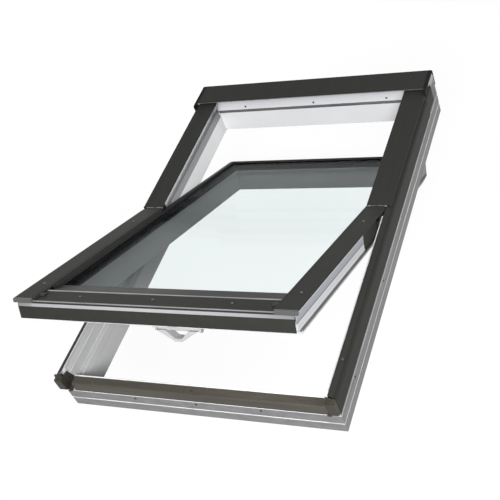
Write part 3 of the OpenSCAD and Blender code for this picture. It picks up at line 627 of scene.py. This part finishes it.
# Black strip folded over the end of the hood's top, beside the end cap's rim
def hood_rim(sign):
    inner, width, back = 0.3818, 0.0062, 0.5860
    gap, proud, easing = 0.0001, 0.0009, 0.0002
    front, top = HOOD_LOW[1], HOOD_HIGH[2]
    outline = [(front - proud, HOOD_LIP), (front - proud, top + proud), (back, top + proud),
               (back, top + gap), (front - gap, top + gap), (front - gap, HOOD_LIP)]
    shape = bmesh.new()
    bar_across(shape, outline, sign * inner, sign * width)
    rounded(shape, shape.edges, easing)
    place(side_name("hood_rim", sign), shape, "frame", RIM_BLACK, "black_plastic")


# Tongue of the end cap that reaches down to the side cladding
def cap_tongue(sign):
    inner, thickness, easing = 0.3901, 0.0014, 0.0003
    front, back, foot, top = 0.4955, 0.5200, 0.1382, 0.1505
    outline = [(front, foot), (front, top), (back, top), (back, 0.1455), (0.5130, foot)]
    shape = bmesh.new()
    bar_across(shape, outline, sign * inner, sign * thickness)
    rounded(shape, shape.edges, easing)
    place(side_name("cap_tongue", sign), shape, "frame", RIM_BLACK, "black_plastic")


# Dark strip on top of the upstand beside the hinge
def hinge_strip(sign):
    start, run, easing = -0.0135, 0.1035, 0.0002
    inner, foot, top = 0.3703, 0.1389, 0.1396
    shape = bmesh.new()
    bar_along(shape, [(inner, foot), (inner, top), (0.3738, top), (0.3742, foot)], sign, start, run)
    rounded(shape, shape.edges, easing)
    place(side_name("hinge_strip", sign), shape, "frame", RIM_BLACK, "black_plastic")


# Dark plug in the open end of the side cladding, above the corner block
def cladding_plug(sign):
    start, run, easing = -0.5902, -0.0045, 0.0006
    inner, foot, top = 0.3705, 0.1240, 0.1384
    outline = [(inner, foot), (0.3894, foot), (0.3890, 0.1270), (0.3850, 0.1332), (0.3795, 0.1368),
               (0.3735, top), (inner, top)]
    shape = bmesh.new()
    bar_along(shape, outline, sign, start, run)
    rounded(shape, shape.edges, easing)
    place(side_name("cladding_plug", sign), shape, "frame", MOULDED_BROWN, "black_plastic")


# Outer skin of the side cladding, which stands a little proud of the jamb
def cladding_skin(sign):
    start, run, easing = -0.5905, 1.0685, 0.0002
    inner, outer, foot = 0.3902, 0.3930, 0.0755
    outline = [(inner, foot), (0.3926, foot), (outer, 0.0762), (outer, 0.1195), (0.3920, 0.1255),
               (0.3894, 0.1308), (0.3886, 0.1290), (inner, 0.1215)]
    shape = bmesh.new()
    bar_along(shape, outline, sign, start, run)
    rounded(shape, shape.edges, easing)
    place(side_name("cladding_skin", sign), shape, "frame", COVER, "dark_cover")


# Moulded clip where the trim below the glass runs under the sash cover
def corner_clip(sign):
    inner, width, easing = 0.3060, 0.0132, 0.0005
    front, foot, shoulder, top = -0.5930, 0.1382, 0.1408, 0.1432
    outline = [(front, foot), (front, shoulder), (-0.5905, top), (-0.5830, top), (-0.5800, shoulder),
               (-0.5735, 0.1402), (-0.5720, foot)]
    shape = bmesh.new()
    bar_across(shape, outline, sign * inner, sign * width)
    rounded(shape, shape.edges, easing)
    bmesh.ops.transform(shape, matrix=TURN_OPEN, verts=shape.verts)
    place(side_name("corner_clip", sign), shape, "sash", MOULDED_BLACK, "dark_cover")


# White lip of the sill bar that stands up behind its cladding
def sill_lip():
    half, easing = 0.3605, 0.0003
    front, back, foot, top = -0.5646, -0.5614, 0.0750, 0.0970
    outline = [(front, foot), (front, 0.0962), (-0.5640, top), (-0.5622, top), (back, 0.0958), (back, foot)]
    shape = bmesh.new()
    bar_across(shape, outline, -half, 2 * half)
    rounded(shape, shape.edges, easing)
    place("sill_lip", shape, "frame", FRAME_WHITE, "white_plastic")


# Thin edge folded round the hood's lip, pale as a painted highlight
def hood_edge():
    wall, under, up = 0.0008, 0.0016, 0.0012
    front = HOOD_LOW[1]
    outline = [(front - wall, HOOD_LIP - wall), (front + under, HOOD_LIP - wall), (front + under, HOOD_LIP),
               (front, HOOD_LIP), (front, HOOD_LIP + up), (front - wall, HOOD_LIP + up)]
    shape = bmesh.new()
    bar_across(shape, outline, HOOD_LOW[0], HOOD_HIGH[0] - HOOD_LOW[0])
    place("hood_edge", shape, "frame", EDGE_HIGHLIGHT, "light_aluminium")


# Round bead along the front edge of the bottom cover's top, pale as a painted highlight
def bottom_bead():
    half, y, z, radius, sides = 0.366, -0.6165, 0.1366, 0.0016, 10
    shape = bmesh.new()
    ring = bmesh.ops.create_circle(shape, cap_ends=True, segments=sides, radius=radius)["verts"]
    bmesh.ops.rotate(shape, verts=ring, cent=(0, 0, 0), matrix=Matrix.Rotation(math.pi / 2, 3, "Y"))
    bmesh.ops.translate(shape, verts=ring, vec=(-half, y, z))
    drawn_out(shape, ring[0].link_faces[0], (2 * half, 0, 0))
    bmesh.ops.transform(shape, matrix=TURN_OPEN, verts=shape.verts)
    place("bottom_bead", shape, "sash", BEAD_HIGHLIGHT, "light_aluminium")


# Floor and light: the light path shows a white room to the camera, through glass and in metal
FLOOR_Z, FLOOR_HALF = -0.42, 9.0
FLOOR_SHOWN, ROOM_LIGHT, ROOM_SHOWN = 0.88, 0.12, 1.0


def seen(tree, plain, white):
    path = add(tree, "ShaderNodeLightPath")
    shown = math_node(tree, "MAXIMUM", path.outputs["Is Camera Ray"], path.outputs["Is Transmission Ray"])
    shown = math_node(tree, "MAXIMUM", shown, path.outputs["Is Glossy Ray"])
    first = math_node(tree, "LESS_THAN", path.outputs["Diffuse Depth"], 0.5)
    return spread(tree, math_node(tree, "MULTIPLY", shown, first), plain, white)


def room():
    shape = bmesh.new()
    bmesh.ops.create_grid(shape, x_segments=1, y_segments=1, size=FLOOR_HALF)
    bmesh.ops.translate(shape, verts=shape.verts, vec=(0, 0, FLOOR_Z))
    mesh = bpy.data.meshes.new("floor")
    shape.to_mesh(mesh)
    shape.free()
    material, tree, shader = new_material("floor")
    shader.inputs["Base Color"].default_value = (0.13, 0.13, 0.13, 1)
    shader.inputs["Roughness"].default_value = 0.9
    shader.inputs["Specular IOR Level"].default_value = 0.0
    shader.inputs["Emission Color"].default_value = (1, 1, 1, 1)
    tree.links.new(seen(tree, 0.0, FLOOR_SHOWN), shader.inputs["Emission Strength"])
    mesh.materials.append(material)
    floor = bpy.data.objects.new("floor", mesh)
    bpy.context.scene.collection.objects.link(floor)
    world = bpy.data.worlds.new("world")
    bpy.context.scene.world = world
    world.use_nodes = True
    tree = world.node_tree
    back = tree.nodes["Background"]
    back.inputs["Color"].default_value = (1, 1, 1, 1)
    tree.links.new(seen(tree, ROOM_LIGHT, ROOM_SHOWN), back.inputs["Strength"])


def lamp(name, at, to, size, power, glossy=True):
    light = bpy.data.lights.new(name, "AREA")
    light.shape = "DISK"
    light.size = size
    light.energy = power
    holder = bpy.data.objects.new(name, light)
    bpy.context.scene.collection.objects.link(holder)
    holder.location = at
    holder.rotation_euler = (Vector(to) - Vector(at)).to_track_quat("-Z", "Y").to_euler()
    holder.visible_transmission = False
    holder.visible_glossy = glossy


# The scene: finished nodes first, then the trims of each side and those in the middle, then the room
camera()
for name in NODES:
    slot = SLOT[name]
    material = BY_NODE.get(name, BY_SLOT[slot])
    if slot == "glazing":
        NODES[name].data.materials.clear()
        NODES[name].data.materials.append(material)
    elif name in SCREWS:
        screws(name)
    else:
        eased(name, EASE[slot], material)
for sign in SIDES:
    upstand_seal(sign)
    corner_lining(sign)
    joint_strip(sign)
    hood_rim(sign)
    cap_tongue(sign)
    hinge_strip(sign)
    cladding_plug(sign)
    cladding_skin(sign)
    corner_clip(sign)
sill_lip()
hood_edge()
bottom_bead()

room()
lamp("front", at=(1.2, -3.0, 2.45), to=(0, 0, 0.1), size=1.8, power=205)
lamp("right", at=(3.2, 0.0, 2.5), to=(0, 0, 0.1), size=1.8, power=71)
lamp("back", at=(-2.4, 2.6, 0.6), to=(0, 0, 0.05), size=1.4, power=80, glossy=False)
bpy.context.scene.view_settings.view_transform = "Standard"
